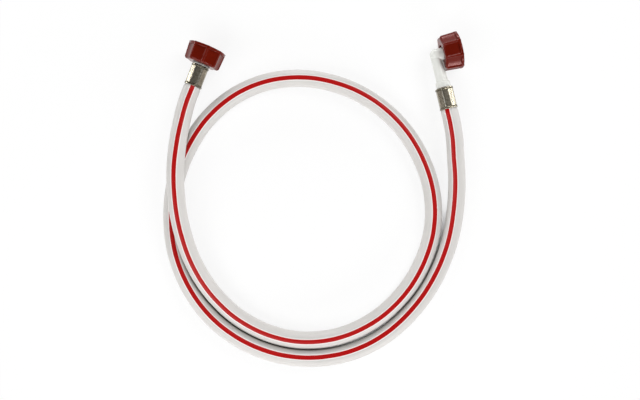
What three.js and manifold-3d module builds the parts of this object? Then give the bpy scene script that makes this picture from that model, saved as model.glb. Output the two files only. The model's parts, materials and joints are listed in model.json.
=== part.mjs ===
// Appliance inlet hose: a reinforced PVC hose that lies in one and a half turns, with a straight end
// and an elbow end, each held by a crimped ferrule and closed by a loose G3/4 nut with its seal.
// Millimetres, +Z up. The origin is on the floor under the middle of the whole hose as it lies,
// +X runs to the elbow side and +Y to the side where both ends come together.

import * as THREE from 'three';
import { mergeVertices } from 'three/addons/utils/BufferGeometryUtils.js';
import Module from 'manifold-3d';

const wasm = await Module();
wasm.setup();

// Clearances
const fitGap = 0.3;              // between two pieces that touch
const boreGap = 0.35;            // between a round piece and the bore that it lies in
const flangeGap = 1.5;           // between a flange and the socket of its nut
const neckGap = 1.9;             // between the straight neck and the hole in the nut's back
const nutPlay = 0.5;             // between the straight nut's back and the stop collar

// Hose
const hoseDiameter = 16;
const hoseBore = 10;
const hoseSides = 12;
const hoseSteps = 72;
const hoseSqueeze = 1.1;         // how far a ferrule presses the hose in, all round
const boreSqueeze = 0.1;         // and how far its bore gives way
const leadLength = 12;           // straight stretch of hose below each ferrule

// Ferrules
const ferruleLength = 19.8;
const ferruleFlats = 8;
const ferruleWall = 0.5;
const ferruleFlare = 0.6;        // the round ends stand this far over the flats
const ferruleEndLength = 1.6;
const ferruleSlope = 0.7;        // length of the slope from a round end to the flats
const straightFerruleTurn = 31;  // degrees from the top to a corner, to the right
const elbowFerruleTurn = 19.5;

// Tails inside the hose
const barbTeeth = 4;
const barbPitch = 4.2;
const barbHeight = 0.4;
const barbBack = 0.7;            // length of the short slope behind a crest
const tailWall = 0.8;            // under the barbs

// Stop collar and flanges
const stopCollarStep = 0.1;      // the stop collar stands this far over the ferrule's flats
const stopCollarLength = 1;
const flangeThickness = 2.2;

// Seals
const sealHole = 15;
const sealThickness = 2.6;

// Nuts
const nutSocket = 25;
const nutHole = 16.4;
const nutWall = 5;               // from the socket to the top of a ridge, at the mouth
const nutTaper = 0.9;            // the back is smaller than the mouth by this, all round
const nutLength = 16.5;
const nutWeb = 3;                // thickness of the back
const nutCorners = 8;
const nutRidgeWidth = 2.2;
const nutFacetDepth = 1.9;       // from the top of a ridge to the middle of a hollow facet
const nutFacetRise = 0.45;       // share of that depth that a facet loses at its sides
const nutFacetPoints = 3;
const nutBackChamfer = 1.4;
const nutRimStep = 0.3;          // the ridges stand this far over the rim at the mouth
const nutRimLength = 2.8;
const nutRimBevel = 0.5;
const nutMouthBevel = 0.8;
const straightNutTurn = 12;      // degrees from the top to a ridge, to the right
const elbowNutTurn = 24.5;

// Elbow
const elbowCollarStep = 0.5;     // the collar is this far under the ferrule's bore, all round
const elbowCollarLength = 5.6;
const elbowLegLength = 25.4;     // from the collar to the corner
const elbowLegWall = 1.45;
const elbowLegShift = 0.7;       // the leg stands off from the nut
const elbowRibThickness = 2.8;
const elbowBoreStep = 0.5;       // the arm's bore is wider than the leg's, all round
const elbowArmWall = 1.95;
const elbowNutStand = 5.5;       // from the middle of the leg to the nut's back

// Places of the two ends, on the floor plan, and the way each one points, in degrees from +X
const straightEndX = -111.9;
const straightEndY = 105.8;
const straightHeading = 68.6;
const elbowEndX = 124.8;
const elbowEndY = 84.6;
const elbowHeading = 103.5;

// Sides of the round shapes, and how far shapes that join or cut run into each other
const turnedSides = 32;
const boreSides = 24;
const rimSides = 48;
const socketSides = 36;
const ferruleFlatSteps = 4;
const overrun = 1;
const samePoint = 1e-4;

// Worked out from the sizes above
const neckDiameter = hoseDiameter - 2 * hoseSqueeze;
const neckBore = hoseBore - 2 * boreSqueeze;
const ferruleInner = neckDiameter / 2 + fitGap;
const stopCollar = ferruleInner + ferruleWall + stopCollarStep;
const elbowCollar = ferruleInner - elbowCollarStep;
const barbCrest = neckBore / 2 - boreGap;
const barbRoot = barbCrest - barbHeight;
const waterBore = 2 * (barbRoot - tailWall);
const armBore = waterBore + 2 * elbowBoreStep;
const armDiameter = armBore + 2 * elbowArmWall;
const straightNeckDiameter = nutHole - 2 * neckGap;
const flangeDiameter = nutSocket - 2 * flangeGap;
const nutMouthDiameter = nutSocket + 2 * nutWall;
const nutBackDiameter = nutMouthDiameter - 2 * nutTaper;
const collarStart = ferruleLength + fitGap;
const tailTip = collarStart - barbTeeth * barbPitch;
const elbowReach = collarStart + elbowCollarLength + elbowLegLength;
const straightNutBack = collarStart + stopCollarLength + nutPlay;
const flangeInNut = nutWeb + fitGap;
const sealInNut = flangeInNut + flangeThickness + fitGap;
const floorLine = hoseDiameter / 2;
const fittingHeight = nutMouthDiameter / 2;
const degrees = Math.PI / 180;

// Route of the hose between its leads: x, y and the lift of its centre line above where it lies
// flat. It comes down from the straight end over the outer turn, runs round once on the inside,
// goes under its own start and comes round on the outside to the elbow.
const route = [
  [-119.6, 82.8, 10.6], [-123.7, 61.2, 13.4], [-125.9, 41.2, 16.1], [-126.7, 25.7, 16.8],
  [-126.3, 11.0, 16.4], [-124.5, -9.6, 14.9], [-120.3, -31.0, 12.3], [-113.1, -53.3, 9.0],
  [-102.5, -74.4, 5.2], [-88.2, -93.4, 1.9], [-68.5, -110.9, 0.2], [-41.0, -124.8, 0],
  [-10.2, -130.8, 0], [23.4, -127.2, 0], [56.3, -112.2, 0], [83.0, -88.0, 0],
  [101.1, -59.4, 0], [111.0, -26.8, 0], [110.7, 7.2, 0], [100.5, 39.5, 0],
  [82.6, 68.0, 0], [57.7, 90.9, 0], [27.6, 106.8, 0], [-5.9, 114.2, 0],
  [-40.6, 111.9, 0], [-72.9, 98.9, 0], [-99.6, 76.5, 0], [-118.5, 47.7, 0],
  [-130.1, 15.7, 0], [-133.1, -18.4, 0], [-128.8, -50.6, 0], [-116.5, -81.5, 0],
  [-96.5, -109.1, 0], [-69.0, -130.4, 0], [-36.3, -143.8, 0], [-0.6, -147.9, 0],
  [35.2, -141.8, 0], [67.7, -125.4, 0], [95.7, -98.8, 0], [114.2, -70.5, 0.2],
  [126.6, -38.8, 1.2], [132.2, -7.3, 2.8], [133.1, 18.7, 5.0], [131.5, 41.6, 6.9],
  [130.3, 57.4, 8.3],
];

function material(name, color, roughness, metalness = 0) {
  return new THREE.MeshStandardMaterial({ name, color, roughness, metalness });
}

const hoseGrey = material('hose_pvc', 0xcdd0cb, 0.42);
const nutRed = material('nut_plastic', 0x7a1a10, 0.25);
const tailWhite = material('tail_plastic', 0xe4e4de, 0.35);
const sealBlack = material('seal_rubber', 0x1c1c1d, 0.7);
const ferruleMetal = material('ferrule_steel', 0xa39d90, 0.3, 1);

// A closed three.js geometry as a solid that can be joined and cut.
function solid(geometry) {
  const bare = geometry.clone();
  for (const name of Object.keys(bare.attributes)) {
    if (name !== 'position') bare.deleteAttribute(name);
  }
  const merged = mergeVertices(bare, samePoint);
  return new wasm.Manifold(new wasm.Mesh({
    numProp: 3,
    vertProperties: new Float32Array(merged.attributes.position.array),
    triVerts: new Uint32Array(merged.index.array),
  }));
}

// A joined or cut solid back as a geometry.
function geometryOf(manifold) {
  const cut = manifold.getMesh();
  const geometry = new THREE.BufferGeometry();
  geometry.setAttribute('position', new THREE.BufferAttribute(new Float32Array(cut.vertProperties), 3));
  geometry.setIndex(new THREE.BufferAttribute(new Uint32Array(cut.triVerts), 1));
  geometry.computeVertexNormals();
  return geometry;
}

// A turned shape about Y from an outline of [radius, y] points, outside upwards and inside down.
function turned(outline, sides) {
  const points = [...outline, outline[0]].map(([radius, y]) => new THREE.Vector2(radius, y));
  return new THREE.LatheGeometry(points, sides);
}

// A full round bar about Y between two heights.
function bar(diameter, from, to, sides) {
  const geometry = new THREE.CylinderGeometry(diameter / 2, diameter / 2, to - from, sides);
  return geometry.translate(0, (from + to) / 2, 0);
}

function mesh(name, geometry, finish) {
  const made = new THREE.Mesh(geometry, finish);
  made.name = name;
  return made;
}

// The outline of a nut over its ridges, as points about the axis: a narrow flat on each ridge and
// an arc of a few points for the hollow facet between two ridges.
function nutOutline(turn) {
  const radius = nutMouthDiameter / 2;
  const step = 360 / nutCorners;
  const half = Math.asin(nutRidgeWidth / 2 / radius) / degrees;
  const points = [];
  for (let corner = 0; corner < nutCorners; corner += 1) {
    const angle = turn + corner * step;
    points.push([radius, angle - half], [radius, angle + half]);
    for (let point = 1; point <= nutFacetPoints; point += 1) {
      const share = point / (nutFacetPoints + 1);
      const depth = nutFacetDepth * (1 - (2 * share - 1) ** 2 * nutFacetRise);
      points.push([radius - depth, angle + half + share * (step - 2 * half)]);
    }
  }
  return points.map(([r, a]) => new THREE.Vector2(r * Math.sin(a * degrees), -r * Math.cos(a * degrees)));
}

// The nut's outer body: the outline drawn along Y, narrow at the back and with a bevelled back edge.
function nutBody(turn) {
  const stations = [
    [0, nutBackDiameter - 2 * nutBackChamfer], [nutBackChamfer, nutBackDiameter],
    [nutLength, nutMouthDiameter],
  ];
  const bands = stations.length - 1;
  const body = new THREE.ExtrudeGeometry(new THREE.Shape(nutOutline(turn)), {
    depth: bands, steps: bands, bevelEnabled: false,
  });
  body.rotateX(-Math.PI / 2);
  const place = body.attributes.position;
  for (let i = 0; i < place.count; i += 1) {
    const [y, diameter] = stations[Math.round(place.getY(i))];
    const scale = diameter / nutMouthDiameter;
    place.setXYZ(i, place.getX(i) * scale, y, place.getZ(i) * scale);
  }
  return solid(body);
}

// A nut: ridged body with a round rim at its mouth, a hole in its back and a socket for the thread.
function nutGeometry(turn) {
  const rimStart = nutLength - nutRimLength;
  const rim = nutMouthDiameter / 2 - nutRimStep;
  const socket = nutSocket / 2;
  const mouth = socket + nutMouthBevel;
  const rimRing = turned([
    [socket, rimStart], [rim - nutRimBevel, rimStart], [rim, rimStart + nutRimBevel],
    [rim, nutLength - nutRimBevel], [rim - nutRimBevel, nutLength], [socket, nutLength],
  ], rimSides);
  const cut = turned([
    [0, -overrun], [nutHole / 2, -overrun], [nutHole / 2, nutWeb], [socket, nutWeb],
    [socket, nutLength - nutMouthBevel], [mouth, nutLength], [mouth, nutLength + overrun],
    [0, nutLength + overrun],
  ], socketSides);
  return geometryOf(nutBody(turn).add(solid(rimRing)).subtract(solid(cut)));
}

// The barbed tail that sits in the hose, as [radius, y] points from its tip up to its collar.
function barbOutline() {
  const teeth = [];
  for (let tooth = 0; tooth < barbTeeth; tooth += 1) {
    const start = tailTip + tooth * barbPitch;
    teeth.push([barbRoot, start], [barbCrest, start + barbPitch - barbBack]);
  }
  return [...teeth, [barbRoot, collarStart]];
}

// The straight end's tail: barbs, stop collar, neck and the flange that holds the nut.
function straightTailGeometry() {
  const collarEnd = collarStart + stopCollarLength;
  const flangeStart = straightNutBack + flangeInNut;
  const face = flangeStart + flangeThickness;
  return turned([
    ...barbOutline(),
    [stopCollar, collarStart], [stopCollar, collarEnd],
    [straightNeckDiameter / 2, collarEnd], [straightNeckDiameter / 2, flangeStart],
    [flangeDiameter / 2, flangeStart], [flangeDiameter / 2, face],
    [waterBore / 2, face], [waterBore / 2, tailTip],
  ], turnedSides);
}

// The elbow fitting: barbs and collar on the hose side, a leg with a rib on the nut's side, a round
// corner, and an arm with the flange that holds the nut. The leg runs along Y and the arm along X.
function elbowGeometry() {
  const collarEnd = collarStart + elbowCollarLength;
  const legStart = collarEnd - overrun;
  const flangeStart = elbowNutStand + flangeInNut;
  const face = flangeStart + flangeThickness;
  const tail = turned([
    ...barbOutline(),
    [elbowCollar, collarStart], [elbowCollar, collarEnd],
    [waterBore / 2, collarEnd], [waterBore / 2, tailTip],
  ], turnedSides);
  const legDiameter = waterBore + 2 * elbowLegWall;
  const leg = bar(legDiameter, legStart, elbowReach, turnedSides).translate(-elbowLegShift, 0, 0);
  const ribEnd = elbowNutStand - fitGap;
  const ribTop = elbowReach - armBore / 2 - overrun;
  const rib = new THREE.BoxGeometry(ribEnd, ribTop - legStart, elbowRibThickness);
  rib.translate(ribEnd / 2, (ribTop + legStart) / 2, 0);
  const corner = new THREE.SphereGeometry(armDiameter / 2, turnedSides, turnedSides / 2);
  const onArm = (geometry) => geometry.rotateZ(-Math.PI / 2).translate(0, elbowReach, 0);
  const joined = [
    leg, rib, onArm(corner), onArm(bar(armDiameter, 0, flangeStart + overrun, turnedSides)),
    onArm(bar(flangeDiameter, flangeStart, face, turnedSides)),
  ];
  const bores = [
    bar(waterBore, tailTip - overrun, elbowReach, boreSides),
    onArm(bar(armBore, -armBore / 4, face + overrun, boreSides)),
  ];
  const body = joined.reduce((whole, geometry) => whole.add(solid(geometry)), solid(tail));
  return geometryOf(bores.reduce((whole, geometry) => whole.subtract(solid(geometry)), body));
}

// A flat ring seal that lies on a flange.
function sealGeometry() {
  const outer = nutSocket / 2 - boreGap;
  return turned([
    [sealHole / 2, 0], [outer, 0], [outer, sealThickness], [sealHole / 2, sealThickness],
  ], turnedSides);
}

// A ferrule: a thin sleeve with round ends, crimped to flats in between.
function ferruleGeometry(turn) {
  const flat = ferruleInner + ferruleWall;
  const round = flat + ferruleFlare;
  const crimpStart = ferruleEndLength + ferruleSlope;
  const geometry = turned([
    [ferruleInner, 0], [round, 0], [round, ferruleEndLength], [flat, crimpStart],
    [flat, ferruleLength - crimpStart], [round, ferruleLength - ferruleEndLength],
    [round, ferruleLength], [ferruleInner, ferruleLength],
  ], ferruleFlats * ferruleFlatSteps);
  const place = geometry.attributes.position;
  const sector = 2 * Math.PI / ferruleFlats;
  for (let i = 0; i < place.count; i += 1) {
    const [x, y, z] = [place.getX(i), place.getY(i), place.getZ(i)];
    if (Math.abs(Math.hypot(x, z) - flat) < samePoint) {
      const angle = Math.atan2(x, z);
      const fromMiddle = angle - (Math.floor(angle / sector) + 0.5) * sector;
      const radius = flat / Math.cos(fromMiddle);
      place.setXYZ(i, radius * Math.sin(angle), y, radius * Math.cos(angle));
    }
  }
  return geometry.rotateY(turn * degrees);
}

// The frame of one end: its Y runs along the fitting, away from the hose, and its Z stays up.
function endFrame(x, y, heading) {
  const frame = new THREE.Group();
  frame.position.set(x, y, fittingHeight);
  frame.rotation.z = (heading - 90) * degrees;
  frame.updateMatrixWorld(true);
  return frame;
}

// The centre line of the hose, from below the straight end's ferrule to below the elbow's.
function centreLine(start, end) {
  const lead = [new THREE.Vector3(0, -fitGap, 0), new THREE.Vector3(0, -fitGap - leadLength, 0)];
  const [atStart, atEnd] = [start, end].map(
    (frame) => lead.map((point) => point.clone().applyMatrix4(frame.matrixWorld)),
  );
  const middle = route.map(([x, y, lift]) => new THREE.Vector3(x, y, floorLine + lift));
  return new THREE.CatmullRomCurve3([...atStart, ...middle, ...atEnd.reverse()], false, 'centripetal');
}

// The hose: a tube with its bore along the centre line, and a thinner neck in each ferrule.
function hoseGeometry(start, end) {
  const section = new THREE.Shape();
  section.absarc(0, 0, hoseDiameter / 2, 0, 2 * Math.PI);
  const hole = new THREE.Path();
  hole.absarc(0, 0, hoseBore / 2, 0, 2 * Math.PI);
  section.holes.push(hole);
  const tube = new THREE.ExtrudeGeometry(section, {
    steps: hoseSteps, curveSegments: hoseSides / 2, extrudePath: centreLine(start, end),
  });
  const neckStart = -fitGap - overrun;
  const neckEnd = ferruleLength - fitGap;
  const necks = [start, end].map((frame) => {
    const neck = turned([
      [neckBore / 2, neckStart], [neckDiameter / 2, neckStart],
      [neckDiameter / 2, neckEnd], [neckBore / 2, neckEnd],
    ], boreSides);
    return solid(neck.applyMatrix4(frame.matrixWorld));
  });
  return geometryOf(solid(tube).add(necks[0]).add(necks[1]));
}

const straightEnd = endFrame(straightEndX, straightEndY, straightHeading);
const elbowEnd = endFrame(elbowEndX, elbowEndY, elbowHeading);

const hose = new THREE.Group();
hose.add(mesh('hose', hoseGeometry(straightEnd, elbowEnd), hoseGrey));
hose.add(straightEnd, elbowEnd);

// Straight end
const straightSeal = mesh('straight_washer', sealGeometry(), sealBlack);
straightSeal.position.y = straightNutBack + sealInNut;
const straightNut = mesh('straight_nut', nutGeometry(straightNutTurn), nutRed);
straightNut.position.y = straightNutBack;
straightEnd.add(
  mesh('straight_ferrule', ferruleGeometry(straightFerruleTurn), ferruleMetal),
  mesh('straight_tail', straightTailGeometry(), tailWhite),
  straightSeal, straightNut,
);

// Elbow end: the nut and its seal sit on the arm, which points to the right of the leg
const arm = new THREE.Group();
arm.position.y = elbowReach;
arm.rotation.z = -Math.PI / 2;
const elbowSeal = mesh('elbow_washer', sealGeometry(), sealBlack);
elbowSeal.position.y = elbowNutStand + sealInNut;
const elbowNut = mesh('elbow_nut', nutGeometry(elbowNutTurn), nutRed);
elbowNut.position.y = elbowNutStand;
arm.add(elbowSeal, elbowNut);
elbowEnd.add(
  mesh('elbow_ferrule', ferruleGeometry(elbowFerruleTurn), ferruleMetal),
  mesh('elbow_fitting', elbowGeometry(), tailWhite),
  arm,
);

export default hose;
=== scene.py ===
"""Looks of the appliance inlet hose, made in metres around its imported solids.

The hose lies flat in one and a half turns, with a straight end and an elbow end. Each fitting is
drawn in a frame of its own, whose Y runs along the fitting and away from the hose and whose Z
points up. The joint of its nut then says where that frame stands.
"""

from __future__ import annotations

import json
import logging
import math
from abc import ABC, abstractmethod
from collections.abc import Callable
from dataclasses import dataclass, field
from enum import Enum

import bmesh
import bpy
from mathutils import Matrix, Vector

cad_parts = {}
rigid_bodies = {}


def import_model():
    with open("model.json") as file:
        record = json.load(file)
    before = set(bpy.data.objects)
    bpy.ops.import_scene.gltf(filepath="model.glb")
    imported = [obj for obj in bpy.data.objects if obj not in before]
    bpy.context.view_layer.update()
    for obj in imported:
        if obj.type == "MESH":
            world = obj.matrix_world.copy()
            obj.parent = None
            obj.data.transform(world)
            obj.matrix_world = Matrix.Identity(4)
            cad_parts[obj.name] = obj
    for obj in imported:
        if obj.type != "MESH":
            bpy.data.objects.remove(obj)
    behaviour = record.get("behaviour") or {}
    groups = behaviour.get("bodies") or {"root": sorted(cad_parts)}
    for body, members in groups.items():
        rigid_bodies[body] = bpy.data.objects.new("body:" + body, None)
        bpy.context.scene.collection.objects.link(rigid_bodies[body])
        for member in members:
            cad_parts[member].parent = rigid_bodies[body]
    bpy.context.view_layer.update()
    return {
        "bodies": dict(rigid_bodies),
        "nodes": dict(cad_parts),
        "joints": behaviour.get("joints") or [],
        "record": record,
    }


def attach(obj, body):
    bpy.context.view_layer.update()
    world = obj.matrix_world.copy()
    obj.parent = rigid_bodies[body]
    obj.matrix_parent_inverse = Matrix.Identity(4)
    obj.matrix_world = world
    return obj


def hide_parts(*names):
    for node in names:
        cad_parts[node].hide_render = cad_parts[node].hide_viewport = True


LOG = logging.getLogger("inlet_hose")
UP = Vector((0.0, 0.0, 1.0))
OWN_PLACE = "own_place"
# Point value for worn edges; on the hose it marks the gap between turns, where shade is painted
EDGE_OR_GAP_SHADE = "edge"

Colour = tuple[float, float, float, float]
Outline = list[tuple[float, float]]
Reading = Callable[[float, float], float]
Node = bpy.types.Node
Piece = bpy.types.Object
Riding = tuple[Piece, str, str]
Socket = bpy.types.NodeSocket

# Places of the colour sockets on a mix node
MIX_FIRST, MIX_SECOND, MIX_RESULT = 6, 7, 2
# The most of a side that the curve of one corner takes up
CORNER_SHARE = 0.45

# Route of the hose between its leads: x, y and the lift of its centre line above where it lies flat
ROUTE = (
    (-0.1196, 0.0828, 0.0106), (-0.1237, 0.0612, 0.0134), (-0.1259, 0.0412, 0.0161),
    (-0.1267, 0.0257, 0.0168), (-0.1263, 0.0110, 0.0164), (-0.1245, -0.0096, 0.0149),
    (-0.1203, -0.0310, 0.0123), (-0.1131, -0.0533, 0.0090), (-0.1025, -0.0744, 0.0052),
    (-0.0882, -0.0934, 0.0019), (-0.0685, -0.1109, 0.0002), (-0.0410, -0.1248, 0.0),
    (-0.0102, -0.1308, 0.0), (0.0234, -0.1272, 0.0), (0.0563, -0.1122, 0.0),
    (0.0830, -0.0880, 0.0), (0.1011, -0.0594, 0.0), (0.1110, -0.0268, 0.0),
    (0.1107, 0.0072, 0.0), (0.1005, 0.0395, 0.0), (0.0826, 0.0680, 0.0),
    (0.0577, 0.0909, 0.0), (0.0276, 0.1068, 0.0), (-0.0059, 0.1142, 0.0),
    (-0.0406, 0.1119, 0.0), (-0.0729, 0.0989, 0.0), (-0.0996, 0.0765, 0.0),
    (-0.1185, 0.0477, 0.0), (-0.1301, 0.0157, 0.0), (-0.1331, -0.0184, 0.0),
    (-0.1288, -0.0506, 0.0), (-0.1165, -0.0815, 0.0), (-0.0965, -0.1091, 0.0),
    (-0.0690, -0.1304, 0.0), (-0.0363, -0.1438, 0.0), (-0.0006, -0.1479, 0.0),
    (0.0352, -0.1418, 0.0), (0.0677, -0.1254, 0.0), (0.0957, -0.0988, 0.0),
    (0.1142, -0.0705, 0.0002), (0.1266, -0.0388, 0.0012), (0.1322, -0.0073, 0.0028),
    (0.1331, 0.0187, 0.0050), (0.1315, 0.0416, 0.0069), (0.1303, 0.0574, 0.0083),
)


def linear(code: int) -> Colour:
    """Turns a screen colour, such as 0xcdd0cb, into the linear colour that a shader takes."""
    screen = [((code >> shift) & 255) / 255 for shift in (16, 8, 0)]
    red, green, blue = [
        value / 12.92 if value <= 0.04045 else ((value + 0.055) / 1.055) ** 2.4 for value in screen
    ]
    return red, green, blue, 1.0


def smooth(share: float) -> float:
    """Eases a share from 0 to 1, flat at both ends and held outside them."""
    held = min(1.0, max(0.0, share))
    return held * held * (3 - 2 * held)


def mixed(first: float, second: float, share: float) -> float:
    """Gives the number that lies a share of the way from the first to the second."""
    return first + (second - first) * share


def between(table: tuple[tuple[float, float], ...], at: float) -> float:
    """Reads an eased value out of a short table.

    Args:
        table: Pairs of a position and the value there, in rising order.
        at: The position to read.

    Returns:
        The value there, and the end values outside the table.
    """
    for (low, first), (high, second) in zip(table, table[1:]):
        if at <= high:
            return mixed(first, second, smooth((at - low) / (high - low)))
    return table[-1][1]


def softened(outline: Outline, radius: float, closed: bool, steps: int = 4) -> Outline:
    """Rounds the corners of an outline.

    Args:
        outline: Its points.
        radius: How far before and after a corner its curve starts and ends, at most.
        closed: Whether the last point joins the first.
        steps: Lengths in each corner's curve.

    Returns:
        The outline with a curve in place of each corner.
    """
    points = [Vector(point) for point in outline]
    count = len(points)
    made: Outline = []
    for index, corner in enumerate(points):
        if not closed and index in (0, count - 1):
            made.append(tuple(corner))
            continue
        before = points[index - 1] - corner
        after = points[(index + 1) % count] - corner
        reach = min(radius, before.length * CORNER_SHARE, after.length * CORNER_SHARE)
        start, end = corner + before.normalized() * reach, corner + after.normalized() * reach
        for step in range(steps + 1):
            share = step / steps
            made.append(tuple(start.lerp(corner, share).lerp(corner.lerp(end, share), share)))
    return made


@dataclass
class Knot:
    """One point of a ring.

    Attributes:
        place: Where it is.
        own: Where it is in the frame of its piece, which the finishes read.
        edge: How much it stands on an edge that wears, 0 to 1; on the hose it is instead how deep
            it lies in the gap between two turns, where shade is painted.
    """

    place: Vector
    own: Vector
    edge: float = 0.0


def dressed_mesh(name: str, mesh: bpy.types.Mesh, crease: float) -> Piece:
    """Shades a mesh smooth up to its creases and links it as an object at the origin."""
    mesh.shade_smooth()
    mesh.set_sharp_from_angle(angle=math.radians(crease))
    piece = bpy.data.objects.new(name, mesh)
    bpy.context.scene.collection.objects.link(piece)
    return piece


def ring_piece(name: str, rows: list[list[Knot]], crease: float = 38.0) -> Piece:
    """Makes a closed piece out of rings that follow each other and come back to the first.

    Args:
        name: The name of the piece.
        rows: The rings, with as many knots in each.
        crease: The angle in degrees from which an edge is drawn sharp.

    Returns:
        The new object.
    """
    sides, count = len(rows[0]), len(rows)
    knots = [knot for row in rows for knot in row]
    faces = [
        (
            row * sides + side,
            row * sides + (side + 1) % sides,
            (row + 1) % count * sides + (side + 1) % sides,
            (row + 1) % count * sides + side,
        )
        for row in range(count)
        for side in range(sides)
    ]
    mesh = bpy.data.meshes.new(name)
    mesh.from_pydata([knot.place for knot in knots], [], faces)
    own = mesh.attributes.new(OWN_PLACE, "FLOAT_VECTOR", "POINT")
    own.data.foreach_set("vector", [number for knot in knots for number in knot.own])
    edge = mesh.attributes.new(EDGE_OR_GAP_SHADE, "FLOAT", "POINT")
    edge.data.foreach_set("value", [knot.edge for knot in knots])
    outward = bmesh.new()
    outward.from_mesh(mesh)
    bmesh.ops.recalc_face_normals(outward, faces=outward.faces)
    outward.to_mesh(mesh)
    outward.free()
    return dressed_mesh(name, mesh, crease)


def ring_row(
    place: Matrix, columns: Outline, along: float, radius_at: Reading,
    edge_at: Reading = lambda *_: 0.0,
) -> list[Knot]:
    """Makes one ring about the Y axis of a frame.

    Args:
        place: The frame.
        columns: The angle of each knot about the axis, and how far it is from its corner or flat.
        along: The place of the ring on the axis.
        radius_at: Gives the radius of a knot from those two.
        edge_at: Gives its wear from those two.

    Returns:
        The ring.
    """
    row = []
    for angle, away in columns:
        radius = radius_at(angle, away)
        own = Vector((radius * math.sin(angle), along, radius * math.cos(angle)))
        row.append(Knot(place @ own, own, edge_at(angle, away)))
    return row


def turned_piece(
    name: str, outline: Outline, place: Matrix, soft: float, sides: int = 96
) -> Piece:
    """Turns a closed outline of radius and height about the Y axis of a fitting.

    Args:
        name: The name of the piece.
        outline: Its corners, each a radius and a place along the axis.
        place: The frame of the fitting.
        soft: How far its corners are rounded.
        sides: Points in each ring.

    Returns:
        The new object.
    """
    columns = [(2 * math.pi * side / sides, 0.0) for side in range(sides)]
    rows = [
        ring_row(place, columns, along, lambda *_: radius)
        for radius, along in softened(outline, soft, closed=True)
    ]
    return ring_piece(name, rows)


def even_curve(points: list[Vector], spacing: float, fine: int = 24) -> list[Vector]:
    """Draws a smooth curve through the points and divides it evenly.

    Args:
        points: The points, in order.
        spacing: The wanted distance between two points of the result.
        fine: Lengths that the curve is measured in, between two points.

    Returns:
        Points on a centripetal curve, from the first point to the last.
    """
    ends = [2 * points[0] - points[1], *points, 2 * points[-1] - points[-2]]
    dense = [points[0].copy()]
    for p0, p1, p2, p3 in zip(ends, ends[1:], ends[2:], ends[3:]):
        d0, d1, d2 = (math.sqrt((b - a).length) for a, b in ((p0, p1), (p1, p2), (p2, p3)))
        leave = ((p1 - p0) / d0 - (p2 - p0) / (d0 + d1) + (p2 - p1) / d1) * d1
        arrive = ((p2 - p1) / d1 - (p3 - p1) / (d1 + d2) + (p3 - p2) / d2) * d1
        for step in range(1, fine + 1):
            t = step / fine
            dense.append(
                p1 * (2 * t**3 - 3 * t**2 + 1)
                + leave * (t**3 - 2 * t**2 + t)
                + p2 * (3 * t**2 - 2 * t**3)
                + arrive * (t**3 - t**2)
            )
    lengths = [0.0]
    for first, second in zip(dense, dense[1:]):
        lengths.append(lengths[-1] + (second - first).length)
    count = max(2, round(lengths[-1] / spacing))
    made, index = [], 0
    for step in range(count + 1):
        wanted = lengths[-1] * step / count
        while index < len(dense) - 2 and lengths[index + 1] < wanted:
            index += 1
        share = (wanted - lengths[index]) / (lengths[index + 1] - lengths[index])
        made.append(dense[index].lerp(dense[index + 1], share))
    return made


class Wiring:
    """Puts nodes into one node tree and joins them."""

    def __init__(self, tree: bpy.types.NodeTree) -> None:
        """Takes the tree to work in."""
        self.tree = tree

    def node(self, kind: str, **settings: object) -> Node:
        """Adds a node and sets its options."""
        made = self.tree.nodes.new(kind)
        for name, value in settings.items():
            setattr(made, name, value)
        return made

    def feed(self, socket: Socket, value: object) -> None:
        """Joins a socket to another one, or sets it to a plain value."""
        if isinstance(value, Socket):
            self.tree.links.new(value, socket)
        else:
            socket.default_value = value

    def result(
        self, kind: str, values: dict[str | int, object], output: int = 0, **settings: object
    ) -> Socket:
        """Adds a node, feeds its inputs by name or place, and gives one of its outputs."""
        made = self.node(kind, **settings)
        for name, value in values.items():
            self.feed(made.inputs[name], value)
        return made.outputs[output]

    def math(self, operation: str, *values: object) -> Socket:
        """Works out one number from others."""
        return self.result("ShaderNodeMath", dict(enumerate(values)), operation=operation)

    def vector(self, operation: str, *values: object) -> Socket:
        """Works out one vector from others."""
        return self.result("ShaderNodeVectorMath", dict(enumerate(values)), operation=operation)

    def scaled(self, vector: Socket, factor: object) -> Socket:
        """Multiplies a vector or a colour by one number."""
        values = {0: vector, "Scale": factor}
        return self.result("ShaderNodeVectorMath", values, operation="SCALE")

    def parts(self, vector: Socket) -> bpy.types.NodeOutputs:
        """Takes a vector apart into its X, Y and Z."""
        made = self.node("ShaderNodeSeparateXYZ")
        self.feed(made.inputs[0], vector)
        return made.outputs

    def mask(self, value: object, low: object, high: object) -> Socket:
        """Eases a number into a mask that is 0 at low and 1 at high."""
        values = {"Value": value, "From Min": low, "From Max": high}
        return self.result("ShaderNodeMapRange", values, interpolation_type="SMOOTHSTEP")

    def blend(self, share: object, first: object, second: object) -> Socket:
        """Mixes two colours."""
        values = {0: share, MIX_FIRST: first, MIX_SECOND: second}
        return self.result("ShaderNodeMix", values, MIX_RESULT, data_type="RGBA")

    def noise(self, place: object, scale: object, detail: float = 2.0) -> Socket:
        """Gives an even cloud of numbers about one half."""
        values = {"Vector": place, "Scale": scale, "Detail": detail}
        return self.result("ShaderNodeTexNoise", values)

    def attribute(self, name: str, output: str) -> Socket:
        """Reads a value that the mesh carries at each point."""
        return self.node("ShaderNodeAttribute", attribute_name=name).outputs[output]

    def group(self, tree: bpy.types.NodeTree, **values: object) -> Node:
        """Places a shared effect and feeds its inputs by name, with _ for a space."""
        made = self.node("ShaderNodeGroup", node_tree=tree)
        for name, value in values.items():
            self.feed(made.inputs[name.replace("_", " ")], value)
        return made


class Kind(Enum):
    """What a socket of a shared effect carries."""

    NUMBER = "NodeSocketFloat"
    VECTOR = "NodeSocketVector"
    COLOUR = "NodeSocketColor"

    @classmethod
    def of(cls, name: str) -> Kind:
        """Gives the kind of a socket by its name."""
        return {"Place": cls.VECTOR, "Colour": cls.COLOUR, "Worn Colour": cls.COLOUR}.get(
            name, cls.NUMBER
        )


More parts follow.
